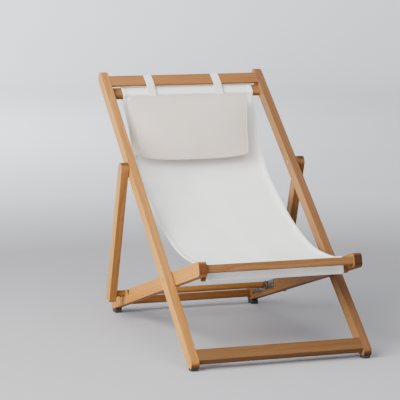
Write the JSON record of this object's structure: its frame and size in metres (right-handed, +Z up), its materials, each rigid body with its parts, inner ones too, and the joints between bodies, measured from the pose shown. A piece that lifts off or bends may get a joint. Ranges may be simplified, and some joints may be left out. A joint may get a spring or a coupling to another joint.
{
  "type": "folding deck chair",
  "caption": "Folding timber deck chair with crossed frames, notched recline rails, a prop frame, a hung canvas sling and a strapped head pillow.",
  "frame": {"origin": "centre of the bounding box at floor level", "axes": "+Z up, the front of the chair faces -Y, +X across the chair to the right of a person facing +Y"},
  "size_m": [0.595, 0.9452, 0.7665],
  "materials": {
    "wood_rail": "satin oiled",
    "wood_cross": "satin oiled",
    "wood_dowel": "satin oiled",
    "wood_plug": "satin oiled",
    "zinc_steel": "satin zinc",
    "rubber_black": "matte",
    "canvas": "woven matte",
    "pillow_cloth": "woven matte",
    "webbing": "woven matte"
  },
  "bodies": {
    "seat_frame": {"seat_rail_left": "wood_rail", "seat_rail_right": "wood_rail", "front_plank": "wood_cross", "front_sling_bar": "wood_cross", "rear_stretcher": "wood_cross", "seat_screws": "zinc_steel", "seat_plugs": "wood_plug", "rear_foot_pad_left": "rubber_black", "rear_foot_pad_right": "rubber_black", "rear_pad_nails": "zinc_steel", "notch_plate_left": "zinc_steel", "notch_plate_right": "zinc_steel", "notch_plate_screws": "zinc_steel", "sling": "canvas"},
    "back_frame": {"back_rail_left": "wood_rail", "back_rail_right": "wood_rail", "top_plank": "wood_cross", "top_sling_bar": "wood_cross", "bottom_bar": "wood_cross", "back_screws": "zinc_steel", "back_plugs": "wood_plug", "main_pivot_bolts": "zinc_steel", "main_pivot_plugs": "wood_plug", "main_pivot_washers": "zinc_steel", "main_pivot_nuts": "zinc_steel", "prop_pivot_nuts": "zinc_steel", "prop_pivot_bolts": "zinc_steel", "prop_pivot_washers": "zinc_steel", "front_foot_pad_left": "rubber_black", "front_foot_pad_right": "rubber_black", "front_pad_nails": "zinc_steel", "pillow": "pillow_cloth", "pillow_strap_left": "webbing", "pillow_strap_right": "webbing"},
    "prop_frame": {"prop_strut_left": "wood_rail", "prop_strut_right": "wood_rail", "prop_dowel": "wood_dowel", "prop_pivot_plugs": "wood_plug"}
  },
  "joints": [
    {"name": "back_fold", "type": "hinge", "parent": "seat_frame", "child": "back_frame", "pos_m": [0, -0.21169, 0.2145], "axis": [1, 0, 0], "range_deg": [0, 118], "deforming": ["sling"]},
    {"name": "prop_swing", "type": "hinge", "parent": "back_frame", "child": "prop_frame", "pos_m": [0, 0.13935, 0.49573], "axis": [-1, 0, 0], "range_deg": [0, 63.72]}
  ],
  "couplings": [
    {"joint": "prop_swing", "follows": "back_fold", "ratio": 0.54}
  ]
}
